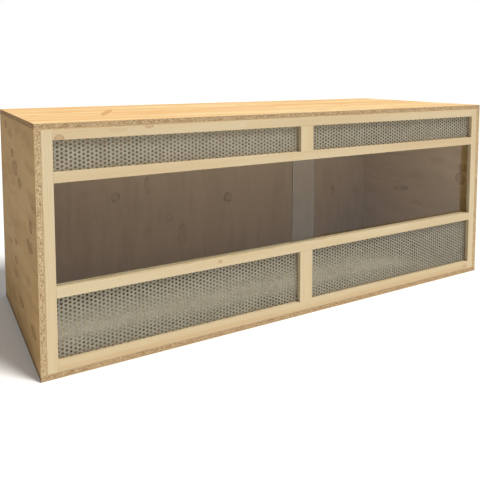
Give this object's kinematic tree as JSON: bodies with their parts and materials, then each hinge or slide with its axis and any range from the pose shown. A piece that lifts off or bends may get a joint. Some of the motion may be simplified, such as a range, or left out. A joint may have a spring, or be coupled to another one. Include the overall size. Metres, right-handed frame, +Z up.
{
  "type": "terrarium",
  "caption": "Long low wooden terrarium with perforated vent sheets above and below two sliding glass panes.",
  "frame": {"origin": "middle of the underside, on the surface that the terrarium stands on", "axes": "+X along the front to the right as seen from the front, +Y from the front to the back, +Z up"},
  "size_m": [1.2, 0.48, 0.48],
  "materials": {
    "faced_board": "satin pine facing on particle board",
    "pine_batten": "planed",
    "perforated_sheet": "galvanised",
    "pane_glass": "clear, polished edges",
    "dowel_beech": "plain",
    "screw_steel": "zinc plated"
  },
  "bodies": {
    "cabinet": {"bottom_panel": "faced_board", "top_panel": "faced_board", "left_side_panel": "faced_board", "right_side_panel": "faced_board", "back_panel": "faced_board", "left_stile": "pine_batten", "right_stile": "pine_batten", "bottom_rail": "pine_batten", "lower_middle_rail": "pine_batten", "upper_middle_rail": "pine_batten", "top_rail": "pine_batten", "lower_mullion": "pine_batten", "upper_mullion": "pine_batten", "lower_left_sheet": "perforated_sheet", "lower_right_sheet": "perforated_sheet", "upper_left_sheet": "perforated_sheet", "upper_right_sheet": "perforated_sheet", "lower_track": "pine_batten", "upper_track": "pine_batten", "board_dowels": "dowel_beech", "frame_dowels": "dowel_beech", "sheet_screws": "screw_steel"},
    "left_pane": {"left_pane": "pane_glass"},
    "right_pane": {"right_pane": "pane_glass"}
  },
  "joints": [
    {"name": "left_pane_slide", "type": "slide", "parent": "cabinet", "child": "left_pane", "axis": [1, 0, 0], "range_m": [0, 0.557]},
    {"name": "right_pane_slide", "type": "slide", "parent": "cabinet", "child": "right_pane", "axis": [1, 0, 0], "range_m": [-0.557, 0]}
  ]
}
